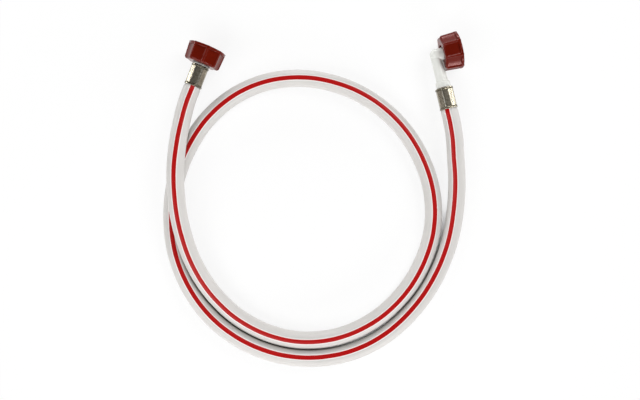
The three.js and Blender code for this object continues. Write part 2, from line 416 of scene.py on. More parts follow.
class Effects:
    """The effects that several finishes share, each one node group."""

    noise_mean = 0.5
    second_cloud = (0.37, 0.11, 0.23)
    second_scale = 2.3
    finer_scale = 4.7
    finer_share = 0.35
    line_tones = (0.38, 0.62)
    worn_spots = (0.28, 0.62)

    def __init__(self) -> None:
        """Builds every group once."""
        self.drift = self.make_drift()
        self.grain = self.make_grain()
        self.lines = self.make_lines()
        self.wear = self.make_wear()

    @staticmethod
    def start(
        name: str, inputs: tuple[str, ...], outputs: tuple[str, ...]
    ) -> tuple[Wiring, bpy.types.NodeOutputs, bpy.types.NodeInputs]:
        """Makes an empty group with its sockets.

        Args:
            name: The name of the group.
            inputs: The name of each input.
            outputs: The name of each output.

        Returns:
            The wiring of the group, what it is given, and what it has to be fed with.
        """
        tree = bpy.data.node_groups.new(name, "ShaderNodeTree")
        for in_out, sockets in (("INPUT", inputs), ("OUTPUT", outputs)):
            for socket in sockets:
                kind = Kind.of(socket).value
                tree.interface.new_socket(name=socket, in_out=in_out, socket_type=kind)
        wiring = Wiring(tree)
        given, result = wiring.node("NodeGroupInput"), wiring.node("NodeGroupOutput")
        return wiring, given.outputs, result.inputs

    def make_drift(self) -> bpy.types.NodeTree:
        """Lets a colour and a roughness drift in soft clouds, as moulded and drawn surfaces do."""
        wiring, given, result = self.start(
            "surface_drift",
            ("Place", "Colour", "Roughness", "Scale", "Colour Drift", "Roughness Drift"),
            ("Colour", "Roughness"),
        )
        cloud = wiring.noise(given["Place"], given["Scale"], detail=3.0)
        tone = wiring.math("SUBTRACT", cloud, self.noise_mean)
        gain = wiring.math("MULTIPLY_ADD", tone, given["Colour Drift"], 1.0)
        moved = wiring.vector("ADD", given["Place"], self.second_cloud)
        closer = wiring.math("MULTIPLY", given["Scale"], self.second_scale)
        second = wiring.noise(moved, closer, detail=3.0)
        rough = wiring.math("SUBTRACT", second, self.noise_mean)
        wiring.feed(result["Colour"], wiring.scaled(given["Colour"], gain))
        moving = wiring.math("MULTIPLY_ADD", rough, given["Roughness Drift"], given["Roughness"])
        wiring.feed(result["Roughness"], moving)
        return wiring.tree

    def make_grain(self) -> bpy.types.NodeTree:
        """Gives the fine unevenness of a moulded or pressed surface, as a height."""
        wiring, given, result = self.start("fine_grain", ("Place", "Scale"), ("Height",))
        coarse = wiring.noise(given["Place"], given["Scale"], detail=4.0)
        closer = wiring.math("MULTIPLY", given["Scale"], self.finer_scale)
        finer = wiring.noise(given["Place"], closer)
        height = wiring.math("MULTIPLY_ADD", finer, self.finer_share, coarse)
        wiring.feed(result["Height"], height)
        return wiring.tree

    def make_lines(self) -> bpy.types.NodeTree:
        """Gives fine lines along a piece's own Y, as drawing or pressing leaves them."""
        wiring, given, result = self.start(
            "drawn_lines", ("Place", "Scale", "Stretch"), ("Height", "Tone")
        )
        squash = wiring.result("ShaderNodeCombineXYZ", {0: 1.0, 1: given["Stretch"], 2: 1.0})
        drawn = wiring.vector("MULTIPLY", given["Place"], squash)
        lines = wiring.noise(drawn, given["Scale"], detail=4.0)
        wiring.feed(result["Height"], lines)
        wiring.feed(result["Tone"], wiring.mask(lines, *self.line_tones))
        return wiring.tree

    def make_wear(self) -> bpy.types.NodeTree:
        """Rubs a colour away along the edges that a piece's mesh marks, more in some spots."""
        wiring, given, result = self.start(
            "edge_wear", ("Place", "Colour", "Worn Colour", "Edge", "Amount", "Scale"), ("Colour",)
        )
        spots = wiring.noise(given["Place"], given["Scale"], detail=4.0)
        on_edge = wiring.math("MULTIPLY", spots, given["Edge"])
        patchy = wiring.mask(on_edge, *self.worn_spots)
        wear = wiring.math("MULTIPLY", patchy, given["Amount"])
        colour = wiring.blend(wear, given["Colour"], given["Worn Colour"])
        wiring.feed(result["Colour"], colour)
        return wiring.tree


@dataclass(frozen=True)
class Drift:
    """Soft clouds: how fine they are, and how far they move the colour and the roughness."""

    scale: float
    colour: float
    roughness: float


@dataclass(frozen=True)
class Wear:
    """Rubbed or dirty edges: their colour, how much of it shows, and how fine its spots are."""

    colour: Colour
    amount: float
    scale: float


@dataclass(frozen=True)
class Grain:
    """Fine unevenness: how fine it is, and its depth in metres."""

    scale: float
    depth: float


@dataclass(frozen=True)
class Lines:
    """Drawn lines: how fine and how long they are, their depth in metres and their tone."""

    scale: float
    stretch: float
    depth: float
    tone: float


class Surface(Wiring):
    """The wiring of one finish, with its shader, the place on the piece and the effects."""

    def __init__(self, tree: bpy.types.NodeTree, effects: Effects) -> None:
        """Puts the shader and its output into the tree."""
        super().__init__(tree)
        self.effects = effects
        self.shader = self.node("ShaderNodeBsdfPrincipled")
        output = self.node("ShaderNodeOutputMaterial")
        self.feed(output.inputs["Surface"], self.shader.outputs[0])
        self.place = self.attribute(OWN_PLACE, "Vector")

    def drifting(
        self, colour: Colour, roughness: float, drift: Drift
    ) -> tuple[Socket, Socket]:
        """Lets a colour and a roughness drift."""
        made = self.group(
            self.effects.drift, Place=self.place, Colour=colour, Roughness=roughness,
            Scale=drift.scale, Colour_Drift=drift.colour, Roughness_Drift=drift.roughness,
        )
        return made.outputs["Colour"], made.outputs["Roughness"]

    def worn(self, colour: Socket, wear: Wear) -> Socket:
        """Gives a colour that is worn along the edges that the mesh marks."""
        return self.group(
            self.effects.wear, Place=self.place, Colour=colour, Worn_Colour=wear.colour,
            Edge=self.attribute(EDGE_OR_GAP_SHADE, "Fac"), Amount=wear.amount, Scale=wear.scale,
        ).outputs["Colour"]

    def drawn(self, lines: Lines) -> Socket:
        """Draws lines along the piece into the shader's normal, and gives their tone."""
        made = self.group(
            self.effects.lines, Place=self.place, Scale=lines.scale, Stretch=lines.stretch
        )
        self.bump(made.outputs["Height"], lines.depth)
        return made.outputs["Tone"]

    def grained(self, grain: Grain) -> None:
        """Puts fine grain into the shader's normal."""
        made = self.group(self.effects.grain, Place=self.place, Scale=grain.scale)
        self.bump(made.outputs["Height"], grain.depth)

    def bump(self, height: Socket, depth: float) -> None:
        """Feeds a height in metres of depth to the shader's normal."""
        made = self.node("ShaderNodeBump")
        made.inputs["Distance"].default_value = depth
        self.feed(made.inputs["Height"], height)
        self.feed(self.shader.inputs["Normal"], made.outputs[0])

    def shade(self, colour: object, roughness: object, **plain: object) -> None:
        """Feeds the shader, and sets more of its own sockets by name, with _ for a space."""
        self.feed(self.shader.inputs["Base Color"], colour)
        self.feed(self.shader.inputs["Roughness"], roughness)
        for name, value in plain.items():
            self.shader.inputs[name.replace("_", " ")].default_value = value


class Finish(ABC):
    """A surface finish, which makes one material and keeps it for every piece that wears it."""

    slot: str

    def __init_subclass__(cls) -> None:
        """Gives each finish a place to keep its material."""
        cls.kept = None

    def material(self, effects: Effects) -> bpy.types.Material:
        """Makes the material, or gives the one that was made before."""
        if type(self).kept is None:
            made = bpy.data.materials.new(f"{self.slot}_finish")
            made.use_nodes = True
            made.node_tree.nodes.clear()
            self.wire(Surface(made.node_tree, effects))
            type(self).kept = made
        return type(self).kept

    @abstractmethod
    def wire(self, surface: Surface) -> None:
        """Wires the nodes that feed the shader."""

    def dress(self, piece: Piece, effects: Effects) -> None:
        """Puts the material on a piece."""
        piece.data.materials.clear()
        piece.data.materials.append(self.material(effects))


@dataclass(frozen=True)
class HosePvc(Finish):
    """Pale grey soft PVC with a red stripe drawn into it, satin, with faint lines along it, and
    painted shade in the gap between two turns.
    """

    slot: str = "hose_pvc"
    grey: Colour = linear(0xD0CDCA)
    streak: Colour = linear(0x8F908A)
    pale: Colour = linear(0xF6F0EE)
    red: Colour = linear(0xAC0303)
    gap_shade: Colour = linear(0x574A38)
    stripe_width: float = 0.0041
    stripe_waver: float = 0.00025
    waver_scale: float = 60.0
    stripe_blur: float = 0.00012
    border_width: float = 0.0012
    border_share: float = 0.9
    gap_shade_share: float = 0.85
    roughness: float = 0.4
    drift: Drift = Drift(scale=45.0, colour=0.09, roughness=0.16)
    lines: Lines = Lines(scale=900.0, stretch=0.02, depth=0.00006, tone=0.05)
    ior: float = 1.53
    gloss: float = 0.22
    bloom: float = 0.08
    bloom_spread: float = 0.25

    def stripe(self, surface: Surface) -> tuple[Socket, Socket]:
        """Gives the masks of the stripe and of the pale border that reaches past it."""
        across, _, up = surface.parts(surface.place)
        noise = surface.noise(surface.place, self.waver_scale)
        waver = surface.math("SUBTRACT", noise, Effects.noise_mean)
        wavering = surface.math("MULTIPLY_ADD", waver, self.stripe_waver, across)
        off_middle, edge = surface.math("ABSOLUTE", wavering), self.stripe_width / 2
        on_top = surface.math("GREATER_THAN", up, 0.0)
        stripe = surface.mask(off_middle, edge + self.stripe_blur, edge - self.stripe_blur)
        border = surface.mask(off_middle, edge + self.border_width, edge)
        return surface.math("MULTIPLY", on_top, stripe), surface.math("MULTIPLY", on_top, border)

    def wire(self, surface: Surface) -> None:
        """Wires the drift of the grey, the lines, the stripe and painted shade in the gap between
        two turns.
        """
        stripe, border = self.stripe(surface)
        colour, rough = surface.drifting(self.grey, self.roughness, self.drift)
        gap_shade_mask = surface.attribute(EDGE_OR_GAP_SHADE, "Fac")
        for share, most, over in (
            (surface.drawn(self.lines), self.lines.tone, self.streak),
            (border, self.border_share, self.pale), (stripe, 1.0, self.red),
            # painted shade: the hose's colour turns a dark brown-grey where it lies close to
            # another turn
            (gap_shade_mask, self.gap_shade_share, self.gap_shade),
        ):
            colour = surface.blend(surface.math("MULTIPLY", share, most), colour, over)
        surface.shade(
            colour, rough, IOR=self.ior, Specular_IOR_Level=self.gloss, Sheen_Weight=self.bloom,
            Sheen_Roughness=self.bloom_spread,
        )


@dataclass(frozen=True)
class NutPlastic(Finish):
    """Dark red moulded plastic, glossy, a little rubbed and duller on its ridges."""

    slot: str = "nut_plastic"
    red: Colour = linear(0x601103)
    shine: Colour = linear(0xFFC4C0)
    roughness: float = 0.19
    corner_edge: tuple[float, float] = (0.02, 0.4)
    corner_matt: float = 0.16
    drift: Drift = Drift(scale=110.0, colour=0.25, roughness=0.14)
    wear: Wear = Wear(colour=linear(0x8C2C22), amount=0.1, scale=420.0)
    grain: Grain = Grain(scale=700.0, depth=0.00002)
    ior: float = 1.49
    gloss: float = 0.32

    def wire(self, surface: Surface) -> None:
        """Wires the drift, the rubbed and duller ridges and the grain of the mould."""
        colour, rough = surface.drifting(self.red, self.roughness, self.drift)
        corner = surface.mask(surface.attribute(EDGE_OR_GAP_SHADE, "Fac"), *self.corner_edge)
        surface.grained(self.grain)
        surface.shade(
            surface.worn(colour, self.wear),
            surface.math("MULTIPLY_ADD", corner, self.corner_matt, rough),
            IOR=self.ior, Specular_IOR_Level=self.gloss, Specular_Tint=self.shine,
        )


@dataclass(frozen=True)
class FerruleSteel(Finish):
    """Plated steel sheet, crimped, with dull lines along it, bright rubbed corners and painted
    shade on the slopes near its ends.
    """

    slot: str = "ferrule_steel"
    metal: Colour = linear(0xB0A998)
    dull_and_shade: Colour = linear(0x4C4638)
    slope_shade: float = 0.75
    slope_start: tuple[float, float] = (0.0005, 0.001)
    slope_end: tuple[float, float] = (0.0027, 0.0019)
    roughness: float = 0.27
    line_matt: float = 0.08
    drift: Drift = Drift(scale=260.0, colour=0.7, roughness=0.3)
    wear: Wear = Wear(colour=linear(0xE4E2DA), amount=0.5, scale=600.0)
    lines: Lines = Lines(scale=1500.0, stretch=0.06, depth=0.00005, tone=0.5)

    def wire(self, surface: Surface) -> None:
        """Wires the lines of the crimping jaws, the bright corners and painted shade on the crimped
        slopes.
        """
        colour, rough = surface.drifting(self.metal, self.roughness, self.drift)
        tone = surface.drawn(self.lines)
        lined = surface.math("MULTIPLY", tone, self.lines.tone)
        worn = surface.worn(surface.blend(lined, colour, self.dull_and_shade), self.wear)
        _, along, _ = surface.parts(surface.place)
        # painted shade: the crimped slopes near both ends are darkened towards the dull colour
        rest = surface.math("SUBTRACT", FitSizes.ferrule_length, along)
        from_end = surface.math("MINIMUM", along, rest)
        start = surface.mask(from_end, *self.slope_start)
        slope = surface.math("MULTIPLY", start, surface.mask(from_end, *self.slope_end))
        shade = surface.math("MULTIPLY", slope, self.slope_shade)
        surface.shade(
            surface.blend(shade, worn, self.dull_and_shade),
            surface.math("MULTIPLY_ADD", tone, self.line_matt, rough), Metallic=1.0,
        )


@dataclass(frozen=True)
class TailPlastic(Finish):
    """Off-white moulded plastic, satin, very slightly uneven."""

    slot: str = "tail_plastic"
    white: Colour = linear(0xE2E3DE)
    roughness: float = 0.34
    drift: Drift = Drift(scale=120.0, colour=0.07, roughness=0.15)
    grain: Grain = Grain(scale=500.0, depth=0.00003)
    ior: float = 1.46

    def wire(self, surface: Surface) -> None:
        """Wires the drift of the white and the grain of the mould."""
        colour, rough = surface.drifting(self.white, self.roughness, self.drift)
        surface.grained(self.grain)
        surface.shade(colour, rough, IOR=self.ior)


@dataclass(frozen=True)
class SealRubber(Finish):
    """Matt black rubber with a fine grain and a dirty grey edge."""

    slot: str = "seal_rubber"
    black: Colour = linear(0x1B1B1C)
    roughness: float = 0.72
    drift: Drift = Drift(scale=200.0, colour=0.5, roughness=0.2)
    wear: Wear = Wear(colour=linear(0x4A4945), amount=0.5, scale=700.0)
    grain: Grain = Grain(scale=1800.0, depth=0.00005)

    def wire(self, surface: Surface) -> None:
        """Wires the drift, the dirty grey edge and the grain."""
        colour, rough = surface.drifting(self.black, self.roughness, self.drift)
        surface.grained(self.grain)
        surface.shade(surface.worn(colour, self.wear), rough)


@dataclass(frozen=True)
class FitSizes:
    """Sizes that several pieces share, in metres."""

    hose_diameter: float = 0.016
    fit_gap: float = 0.0003
    ferrule_length: float = 0.0198
    ferrule_inner: float = 0.0072
    barb_crest: float = 0.00455
    barb_root: float = 0.00415
    barb_pitch: float = 0.0042
    barb_back: float = 0.0007
    barb_teeth: int = 4
    water_bore: float = 0.0067
    flange_diameter: float = 0.022
    flange_thickness: float = 0.0022
    nut_web: float = 0.003

    @property
    def flange_start(self) -> float:
        """Where the flange of a tail starts, from the back of its nut."""
        return self.nut_web + self.fit_gap

    @property
    def flange_end(self) -> float:
        """Where the flange of a tail ends, from the back of its nut."""
        return self.flange_start + self.flange_thickness

    @property
    def collar_start(self) -> float:
        """Where a tail's collar starts, from the hose's end of the ferrule."""
        return self.ferrule_length + self.fit_gap

    @property
    def tail_tip(self) -> float:
        """Where the barbs start."""
        return self.collar_start - self.barb_teeth * self.barb_pitch

    def barbs(self) -> Outline:
        """Gives the outline of the barbs, from their tip up to the collar."""
        made: Outline = []
        for tooth in range(self.barb_teeth):
            start = self.tail_tip + tooth * self.barb_pitch
            crest = start + self.barb_pitch - self.barb_back
            made += [(self.barb_root, start), (self.barb_crest, crest)]
        return [*made, (self.barb_root, self.collar_start)]


@dataclass
class Hose:
    """The hose: a tube with its bore, squeezed to a neck in each ferrule.

    Attributes:
        start: The frame of the straight end.
        end: The frame of the elbow end.
    """

    start: Matrix
    end: Matrix
    fit: FitSizes = field(default_factory=FitSizes)
    bore: float = 0.010
    neck_diameter: float = 0.0138
    neck_bore: float = 0.0098
    lead: float = 0.012
    taper_start: float = -0.0022
    taper_end: float = 0.0016
    length: float = 1.44
    spacing: float = 0.0022
    bore_every: int = 8
    turn_apart: float = 0.15
    gap_shade_reach: float = 0.003
    sides: int = 48
    stripe_roll: tuple[tuple[float, float], ...] = (
        (0.02, -12.0), (0.12, 1.0), (0.21, 6.0), (0.30, 3.0), (0.37, 0.0), (0.42, 3.0),
        (0.48, 1.0), (0.53, 1.5), (0.63, 4.0), (0.68, -1.0), (0.73, -4.0), (0.84, -6.0),
        (0.93, -6.0), (1.04, -14.0), (1.14, -17.5), (1.26, -17.0), (1.34, -22.0), (1.42, -25.0),
    )

    def centre_line(self) -> list[Vector]:
        """Gives evenly spaced points from one neck's end to the other's."""
        gap = self.fit.fit_gap
        neck_end = self.fit.ferrule_length - gap
        lead = [Vector((0, y, 0)) for y in (neck_end, neck_end / 2, -gap, -gap - self.lead)]
        middle = [Vector((x, y, self.fit.hose_diameter / 2 + lift)) for x, y, lift in ROUTE]
        start = [self.start @ point for point in lead]
        end = [self.end @ point for point in reversed(lead)]
        return even_curve([*start, *middle, *end], self.spacing)

    def radius(self, along: float, total: float, wide: float, narrow: float) -> float:
        """Gives the wide radius on the run of the hose and the narrow one in a ferrule.

        Args:
            along: The place on the hose, from the end of its first neck.
            total: The length of the whole hose.
            wide: The radius on the run.
            narrow: The radius in a ferrule.

        Returns:
            The radius there.
        """
        neck = self.fit.ferrule_length - self.fit.fit_gap
        out_of_ferrule = neck - min(along, total - along)
        share = (out_of_ferrule - self.taper_start) / (self.taper_end - self.taper_start)
        return mixed(wide, narrow, smooth(share))

    def neighbours(self, line: list[Vector]) -> list[Vector]:
        """Gives for each point of the centre line the nearest one of another turn."""
        apart = round(self.turn_apart / self.spacing)
        return [
            min(
                [*line[: max(0, index - apart)], *line[index + apart:]],
                key=lambda other: (other - point).length_squared,
            )
            for index, point in enumerate(line)
        ]

    def build(self) -> tuple[Piece, list[Vector]]:
        """Makes the tube.

        Returns:
            The piece and the points of its centre line.
        """
        line = self.centre_line()
        spacing = (line[1] - line[0]).length
        total = spacing * (len(line) - 1)
        outer, inner = [], []
        for index, (centre, other) in enumerate(zip(line, self.neighbours(line))):
            ahead, behind = line[min(index + 1, len(line) - 1)], line[max(index - 1, 0)]
            right = (ahead - behind).cross(UP).normalized()
            top = right.cross(ahead - behind).normalized()
            along = index * spacing
            roll = math.radians(between(self.stripe_roll, along))
            wide = self.radius(along, total, self.fit.hose_diameter / 2, self.neck_diameter / 2)
            bore = self.radius(along, total, self.bore / 2, self.neck_bore / 2)
            row, bore_row = [], []
            for side in range(self.sides):
                angle = 2 * math.pi * side / self.sides
                way = top * math.cos(angle + roll) + right * math.sin(angle + roll)
                own = Vector((wide * math.sin(angle), along, wide * math.cos(angle)))
                place = centre + way * wide
                # painted shade: the closer a point comes to another turn, the more the finish
                # darkens it
                gap = (place - other).length - self.fit.hose_diameter / 2
                row.append(Knot(place, own, 1 - smooth(gap / self.gap_shade_reach)))
                inside = Vector((bore * math.sin(angle), along, -self.bore))
                bore_row.append(Knot(centre + way * bore, inside))
            outer.append(row)
            if index % self.bore_every == 0 or index == len(line) - 1:
                inner.append(bore_row)
        return ring_piece("inlet_hose_tube", [*outer, *reversed(inner)]), line


@dataclass
class Nut:
    """A union nut with ridged corners, hollow facets, a round rim and an inside thread.

    Attributes:
        name: The name of its piece.
        place: The frame at the middle of its back, with Y towards its mouth.
        turn: Degrees from the top to a ridge, to the right.
    """

    name: str
    place: Matrix
    turn: float
    length: float = 0.0165
    hole: float = 0.0164
    fit: FitSizes = field(default_factory=FitSizes)
    socket: float = 0.025
    mouth_diameter: float = 0.035
    back_diameter: float = 0.0332
    corners: int = 8
    ridge_shares: tuple[float, ...] = (0.0, 0.55, 0.9)
    flank_steps: int = 5
    facet_steps: int = 7
    ridge_width: float = 0.0013
    ridge_flank: float = 0.0008
    ridge_height: float = 0.0002
    facet_depth: float = 0.0019
    back_chamfer: float = 0.0014
    edge_round: float = 0.0005
    rim_diameter: float = 0.0344
    rim_length: float = 0.0028
    rim_round: float = 0.0009
    rim_steps: int = 5
    rim_crowding: float = 1.6
    rim_foot: float = 0.00002
    mouth_bevel: float = 0.0008
    thread_pitch: float = 0.001814
    thread_crest: float = 0.0123
    thread_root: float = 0.0131
    thread_start: float = 0.0046
    thread_rows: int = 9
    thread_flat: float = 1.15
    thread_flank: float = 1.3

    def columns(self) -> list[tuple[float, float]]:
        """Gives the angle of every column about the axis, and how far it is from its ridge."""
        half_sector = math.pi / self.corners
        radius = self.mouth_diameter / 2
        ridge, flank = self.ridge_width / 2 / radius, self.ridge_flank / radius
        away = [ridge * share for share in self.ridge_shares]
        steps, facet = self.facet_steps, ridge + flank
        turns = self.flank_steps
        away += [ridge + flank * step / turns for step in range(1, turns + 1)]
        away += [mixed(facet, half_sector, step / steps) for step in range(1, steps + 1)]
        made = []
        for corner in range(self.corners):
            middle = math.radians(self.turn) + corner * 2 * half_sector
            made += [(middle - angle, angle) for angle in reversed(away[1:])]
            made += [(middle + angle, angle) for angle in away[:-1]]
        return made

    def ridge_share(self, away: float) -> float:
        """Gives 1 on the top of a ridge and 0 on a facet."""
        arc = away * self.mouth_diameter / 2 - self.ridge_width / 2
        return 1 - smooth(arc / self.ridge_flank)

    def body_radius(self, away: float, along: float) -> float:
        """Gives the radius of the ridged body.

        Args:
            away: The angle from the nearest ridge.
            along: The place along the nut, from its back.

        Returns:
            The radius there, without the rim.
        """
        share = (along - self.back_chamfer) / (self.length - self.back_chamfer)
        top = mixed(self.back_diameter, self.mouth_diameter, max(0.0, share)) / 2
        half_sector = math.pi / self.corners
        to_side = max(0.0, 1 - away / half_sector)
        depth = mixed(self.facet_depth, self.ridge_height, to_side**2)
        return top - depth * (1 - self.ridge_share(away))

    def rim_radius(self, along: float) -> float:
        """Gives the radius of the round rim at the mouth, or 0 before it."""
        from_edge = min(along - (self.length - self.rim_length), self.length - along)
        if from_edge < 0:
            return 0.0
        lack = max(0.0, 1 - from_edge / self.rim_round)
        return self.rim_diameter / 2 - self.rim_round * (1 - math.sqrt(1 - lack * lack))

    def outside(self) -> list[tuple[float, float]]:
        """Gives the insets and places of the outer rings, from the back face to the mouth."""
        rim_start = self.length - self.rim_length
        back = softened(
            [
                (self.back_chamfer + 4 * self.edge_round, 0.0), (self.back_chamfer, 0.0),
                (0.0, self.back_chamfer), (0.0, rim_start - self.edge_round),
            ],
            self.edge_round, closed=False,
        )
        steps = [
            self.rim_round * (step / self.rim_steps) ** self.rim_crowding
            for step in range(self.rim_steps + 1)
        ]
        rim = [(0.0, rim_start + step) for step in steps]
        rim += [(0.0, self.length - step) for step in reversed(steps[2:])]
        last, first = self.edge_round, self.edge_round * 0.3
        end = [(first, self.length - first), (last, self.length)]
        return [*back, (0.0, rim_start - self.rim_foot), *rim, *end]

    def thread_radius(self, angle: float, along: float) -> float:
        """Gives the radius of the inside thread, which fades out at both of its ends."""
        end = self.length - self.mouth_bevel
        turn = (along / self.thread_pitch - angle / (2 * math.pi)) % 1.0
        groove = smooth(self.thread_flat - abs(2 * turn - 1) * self.thread_flank)
        fade = min(along - self.thread_start, end - along) / self.thread_pitch
        share = groove * min(1.0, max(0.0, fade))
        return mixed(self.thread_crest, self.thread_root, share)

    def build(self) -> Piece:
        """Makes the nut."""
        columns = self.columns()
        rows = []
        rim_start = self.length - self.rim_length
        for inset, along in self.outside():
            on_rim, rim = along > rim_start, self.rim_radius(along)
            rows.append(
                ring_row(
                    self.place, columns, along,
                    lambda _, away: max(self.body_radius(away, along) - inset, rim),
                    lambda _, away: 0.0 if on_rim else self.ridge_share(away),
                )
            )
        top = self.length - self.mouth_bevel
        mouth = self.socket / 2 + self.mouth_bevel
        inside = [
            (mouth + self.edge_round, self.length), (mouth, self.length),
            (self.thread_crest, top),
        ]
        rows += self.plain_rows(columns, inside)
        count = round((top - self.thread_start) / self.thread_pitch * self.thread_rows)
        for step in range(1, count):
            along = mixed(top, self.thread_start, step / count)
            rows.append(
                ring_row(
                    self.place, columns, along, lambda angle, _: self.thread_radius(angle, along)
                )
            )
        hole, web = self.hole / 2, self.fit.nut_web
        back = [
            (self.thread_crest, self.thread_start),
            (self.thread_root, self.thread_start - self.edge_round), (self.thread_root, web),
            (hole, web), (hole, 0.0), (hole + 2 * self.edge_round, 0.0),
        ]
        rows += self.plain_rows(columns, back)
        return ring_piece(self.name, rows, crease=50.0)

    def plain_rows(self, columns: Outline, outline: Outline) -> list[list[Knot]]:
        """Makes the round rings of an outline of radii and places, with its corners rounded."""
        return [
            ring_row(self.place, columns, along, lambda *_: radius)
            for radius, along in softened(outline, self.edge_round * 0.7, closed=False)
        ]


@dataclass
class Ferrule:
    """A thin sleeve with round ends, crimped to flats in between.

    Attributes:
        name: The name of its piece.
        place: The frame of its fitting.
        turn: Degrees from the top to a corner, to the right.
    """

    name: str
    place: Matrix
    turn: float
    fit: FitSizes = field(default_factory=FitSizes)
    flats: int = 8
    wall: float = 0.0005
    flare: float = 0.0006
    end_length: float = 0.0013
    slope: float = 0.9
    corner_round: float = 0.00035
    end_round: float = 0.00022
    seam_width: float = 0.0009
    seam_height: float = 0.00012
    end_wear: float = 0.6
    steps: int = 9
    flat_shares: tuple[float, ...] = (0.0, 0.25, 0.5, 0.68, 0.8, 0.88, 0.93, 0.97)

    def columns(self) -> list[tuple[float, float]]:
        """Gives the angle of every column about the axis, and how far a flat's middle is."""
        half, shares = math.pi / self.flats, self.flat_shares
        made = []
        for flat in range(self.flats):
            middle = math.radians(self.turn) + (2 * flat + 1) * half
            made += [(middle - half, half)]
            made += [(middle - share * half, share * half) for share in reversed(shares[1:])]
            made += [(middle + share * half, share * half) for share in shares]
        return made

    def corner_share(self, away: float) -> float:
        """Gives 1 on a corner and 0 away from it."""
        to_corner = (math.pi / self.flats - away) * self.fit.ferrule_inner
        return 1 - smooth(to_corner / self.seam_width)

    def outer_radius(self, away: float, along: float) -> float:
        """Gives the radius of the outside.

        Args:
            away: The angle from the middle of the nearest flat.
            along: The place along the ferrule.

        Returns:
            The smaller one of the round end and the flat, with a soft corner between two flats.
        """
        length = self.fit.ferrule_length
        flat = self.fit.ferrule_inner + self.wall
        round_end = flat + self.flare
        from_end = min(along, length - along)
        rise = max(0.0, self.end_length + self.flare - from_end) * self.slope
        half = math.pi / self.flats
        limit = flat / math.cos(half) - self.corner_round
        crimped = min((flat + rise) / math.cos(away), limit + rise)
        seam = self.seam_height * self.corner_share(away)
        return min(round_end, crimped + (seam if rise == 0 else 0.0))

    def build(self) -> Piece:
        """Makes the ferrule."""
        length = self.fit.ferrule_length
        columns = self.columns()
        crimp = self.end_length + self.flare
        near = [self.end_round, *(crimp * step / self.steps for step in range(2, self.steps + 3))]
        places = [*near, length / 2, *(length - along for along in reversed(near))]
        rows = []
        for along in (0.0, *places, length):
            from_end = min(along, length - along)
            inset = self.end_round if from_end == 0 else 0.0
            edge = self.end_wear if from_end < crimp * 0.6 else 0.0
            rows.append(
                ring_row(
                    self.place, columns, along,
                    lambda _, away: self.outer_radius(away, along) - inset,
                    lambda _, away: max(edge, self.corner_share(away)),
                )
            )
        inner = self.fit.ferrule_inner
        mouth = inner + self.flare
        inside = (
            (mouth, length), (mouth, length - self.end_length), (inner, length - crimp),
            (inner, crimp), (mouth, self.end_length), (mouth, 0.0),
        )
        for radius, along in inside:
            rows.append(ring_row(self.place, columns, along, lambda *_: radius))
        return ring_piece(self.name, rows, crease=32.0)


@dataclass
class Seal:
    """A flat ring of rubber on the flange in a nut.

    Attributes:
        name: The name of its piece.
        nut_place: The frame at the middle of the nut's back.
    """

    name: str
    nut_place: Matrix
    fit: FitSizes = field(default_factory=FitSizes)
    thickness: float = 0.0026
    outer: float = 0.01215
    hole: float = 0.0075
    soft: float = 0.0004

    def build(self) -> Piece:
        """Makes the seal."""
        start = self.fit.flange_end + self.fit.fit_gap
        end = start + self.thickness
        outline = [(self.hole, start), (self.outer, start), (self.outer, end), (self.hole, end)]
        return turned_piece(self.name, outline, self.nut_place, self.soft)


@dataclass
class HoseEnd(ABC):
    """One end of the hose: ferrule, tail, seal and nut.

    Attributes:
        place: Its frame, which starts at the hose's end of the ferrule.
        side: The word that its pieces, body and nodes start with.
        tail_kind: The word that the node of its tail ends with.
    """

    place: Matrix
    side: str = ""
    tail_kind: str = ""
    fit: FitSizes = field(default_factory=FitSizes)
    ferrule_turn: float = 0.0
    nut_turn: float = 0.0

    @property
    @abstractmethod
    def nut_place(self) -> Matrix:
        """The frame at the middle of the nut's back."""

    @abstractmethod
    def tail(self, name: str) -> Piece:
        """Makes the tail."""

    def build(self, effects: Effects) -> list[Riding]:
        """Makes and dresses the pieces.

        Args:
            effects: The shared effects.

        Returns:
            Each piece with the body that it rides on and the node that it stands for.
        """
        side, end = self.side, f"{self.side}_end"
        ferrule = Ferrule(f"{end}_ferrule", self.place, self.ferrule_turn).build()
        tail = self.tail(f"{end}_{self.tail_kind}")
        seal = Seal(f"{end}_seal", self.nut_place).build()
        nut = Nut(f"{end}_nut", self.nut_place, self.nut_turn).build()
        made = (
            (ferrule, FerruleSteel(), "hose", "ferrule"),
            (tail, TailPlastic(), "hose", self.tail_kind),
            (seal, SealRubber(), "hose", "washer"),
            (nut, NutPlastic(), f"{side}_nut", "nut"),
        )
        for piece, finish, _, _ in made:
            finish.dress(piece, effects)
        return [(piece, body, f"{side}_{kind}") for piece, _, body, kind in made]


@dataclass
class StraightEnd(HoseEnd):
    """The straight end, whose tail is turned."""

    side: str = "straight"
    tail_kind: str = "tail"
    ferrule_turn: float = 31.0
    nut_turn: float = 12.0
    stop_collar: float = 0.0078
    stop_length: float = 0.001
    neck: float = 0.0063
    nut_play: float = 0.0005
    soft: float = 0.0003

    @property
    def nut_back(self) -> float:
        """Where the nut's back stands along the fitting."""
        return self.fit.collar_start + self.stop_length + self.nut_play

    @property
    def nut_place(self) -> Matrix:
        """The frame at the middle of the nut's back."""
        return self.place @ Matrix.Translation((0, self.nut_back, 0))

    def tail(self, name: str) -> Piece:
        """Makes the tail: barbs, stop collar, neck and flange."""
        fit = self.fit
        collar_end = fit.collar_start + self.stop_length
        flange, face = self.nut_back + fit.flange_start, self.nut_back + fit.flange_end
        outline = [
            *fit.barbs(), (self.stop_collar, fit.collar_start), (self.stop_collar, collar_end),
            (self.neck, collar_end), (self.neck, flange), (fit.flange_diameter / 2, flange),
            (fit.flange_diameter / 2, face), (fit.water_bore / 2, face),
            (fit.water_bore / 2, fit.tail_tip),
        ]
        return turned_piece(name, outline, self.place, self.soft)


